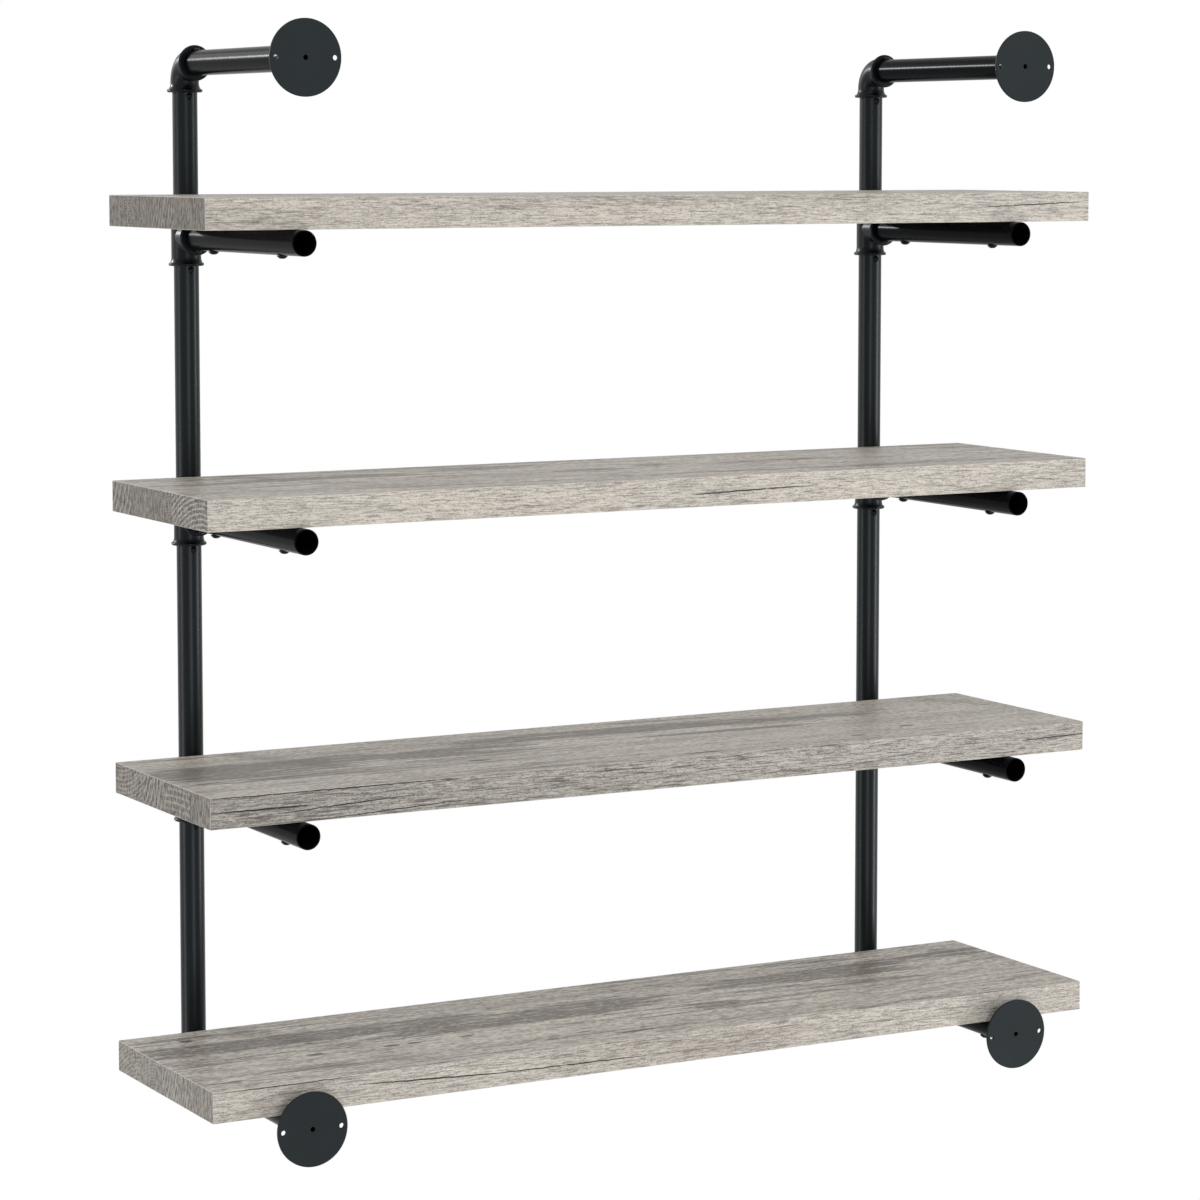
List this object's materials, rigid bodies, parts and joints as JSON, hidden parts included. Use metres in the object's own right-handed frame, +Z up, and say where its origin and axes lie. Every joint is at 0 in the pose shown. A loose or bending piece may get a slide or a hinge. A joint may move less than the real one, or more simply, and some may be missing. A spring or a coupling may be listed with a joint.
{
  "type": "wall bookshelf",
  "caption": "Wall-hung bookshelf: thick grey wood-look boards on two black steel tube frames whose arms end in round wall plates.",
  "frame": {"origin": "on the wall plane, at the centre of the four round wall plates", "axes": "+Z up, +Y into the wall, the room on the -Y side, +X to the right as seen from the room"},
  "size_m": [1.016, 0.315, 1.1024],
  "materials": {
    "wood_board": "grey driftwood laminate, satin",
    "black_tube": "satin black powder coat",
    "black_casting": "satin black powder coat on a casting",
    "black_plate": "matt black powder coat",
    "black_fastener": "black oxide, satin",
    "insert_steel": "zinc-plated steel"
  },
  "bodies": {
    "root": {"left_arm_bottom": "black_tube", "left_arm_top": "black_tube", "left_elbow_bottom": "black_casting", "left_elbow_bottom_screws": "black_fastener", "left_elbow_top": "black_casting", "left_elbow_top_screws": "black_fastener", "left_shelf_arm_1": "black_tube", "left_shelf_arm_2": "black_tube", "left_shelf_arm_3": "black_tube", "left_shelf_bolts_1": "black_fastener", "left_shelf_bolts_2": "black_fastener", "left_shelf_bolts_3": "black_fastener", "left_shelf_bolts_4": "black_fastener", "left_tee_1": "black_casting", "left_tee_1_screws": "black_fastener", "left_tee_2": "black_casting", "left_tee_2_screws": "black_fastener", "left_tee_3": "black_casting", "left_tee_3_screws": "black_fastener", "left_upright_1": "black_tube", "left_upright_2": "black_tube", "left_upright_3": "black_tube", "left_upright_4": "black_tube", "left_wall_plate_bottom": "black_plate", "left_wall_plate_top": "black_plate", "right_arm_bottom": "black_tube", "right_arm_top": "black_tube", "right_elbow_bottom": "black_casting", "right_elbow_bottom_screws": "black_fastener", "right_elbow_top": "black_casting", "right_elbow_top_screws": "black_fastener", "right_shelf_arm_1": "black_tube", "right_shelf_arm_2": "black_tube", "right_shelf_arm_3": "black_tube", "right_shelf_bolts_1": "black_fastener", "right_shelf_bolts_2": "black_fastener", "right_shelf_bolts_3": "black_fastener", "right_shelf_bolts_4": "black_fastener", "right_tee_1": "black_casting", "right_tee_1_screws": "black_fastener", "right_tee_2": "black_casting", "right_tee_2_screws": "black_fastener", "right_tee_3": "black_casting", "right_tee_3_screws": "black_fastener", "right_upright_1": "black_tube", "right_upright_2": "black_tube", "right_upright_3": "black_tube", "right_upright_4": "black_tube", "right_wall_plate_bottom": "black_plate", "right_wall_plate_top": "black_plate", "shelf_board_1": "wood_board", "shelf_board_2": "wood_board", "shelf_board_3": "wood_board", "shelf_board_4": "wood_board", "shelf_inserts_1": "insert_steel", "shelf_inserts_2": "insert_steel", "shelf_inserts_3": "insert_steel", "shelf_inserts_4": "insert_steel"}
  },
  "joints": []
}
